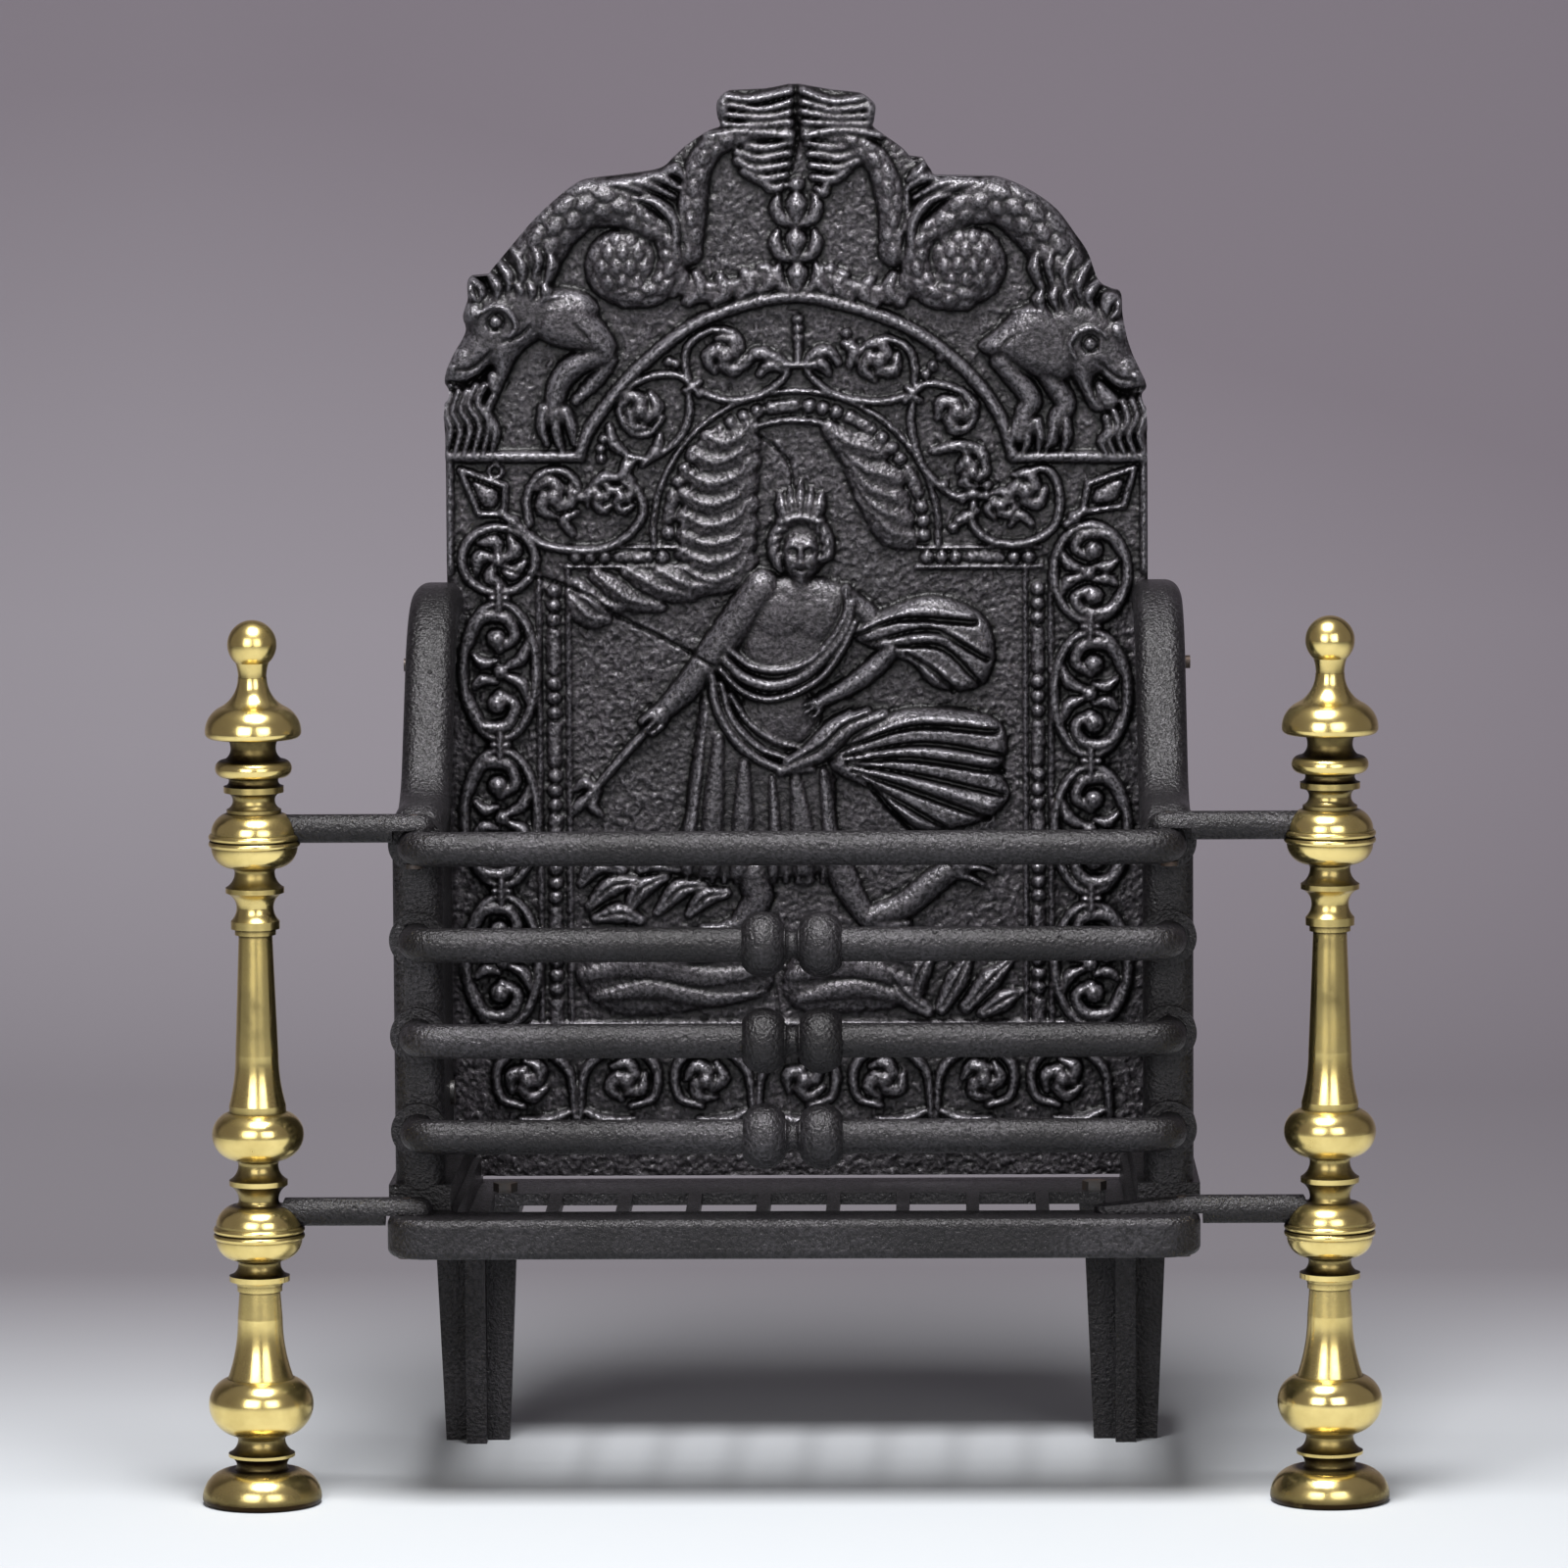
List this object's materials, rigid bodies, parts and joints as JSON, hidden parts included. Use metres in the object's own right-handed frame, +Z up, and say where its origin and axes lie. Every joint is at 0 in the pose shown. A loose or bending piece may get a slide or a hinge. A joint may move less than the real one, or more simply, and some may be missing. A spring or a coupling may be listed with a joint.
{
  "type": "fire basket",
  "caption": "Free-standing cast-iron fire basket with a tall arched relief fireback, round knopped fire bars, a slotted grate and turned brass standards at its front corners.",
  "frame": {"origin": "on the hearth, midway between the two sides and between the front and the back", "axes": "+Z up, -Y towards the room, +X to the right as seen from the room"},
  "size_m": [0.707, 0.2824, 0.835],
  "materials": {
    "cast_iron": "sand-cast, blacked",
    "wrought_iron": "forged, blacked",
    "brass": "turned, dulled in the grooves",
    "fixings": "dark, oiled"
  },
  "bodies": {
    "root": {"grate_base": "cast_iron", "left_cheek": "cast_iron", "right_cheek": "cast_iron", "left_leg": "cast_iron", "right_leg": "cast_iron", "fireback": "cast_iron", "lower_knop_bar": "wrought_iron", "middle_knop_bar": "wrought_iron", "upper_knop_bar": "wrought_iron", "top_bar": "wrought_iron", "left_upper_arm": "wrought_iron", "right_upper_arm": "wrought_iron", "left_lower_arm": "wrought_iron", "right_lower_arm": "wrought_iron", "left_foot": "brass", "left_lower_shaft": "brass", "left_lower_collar": "brass", "left_middle_knop": "brass", "left_upper_shaft": "brass", "left_upper_collar": "brass", "left_finial_vase": "brass", "left_finial_knob": "brass", "left_tie_rod": "fixings", "right_foot": "brass", "right_lower_shaft": "brass", "right_lower_collar": "brass", "right_middle_knop": "brass", "right_upper_shaft": "brass", "right_upper_collar": "brass", "right_finial_vase": "brass", "right_finial_knob": "brass", "right_tie_rod": "fixings", "cheek_bolts": "fixings", "leg_bolts": "fixings", "leg_nuts": "fixings", "arm_rivets": "fixings", "fireback_clips": "fixings", "clip_bolts": "fixings", "clip_nuts": "fixings", "foot_nuts": "fixings"}
  },
  "joints": []
}
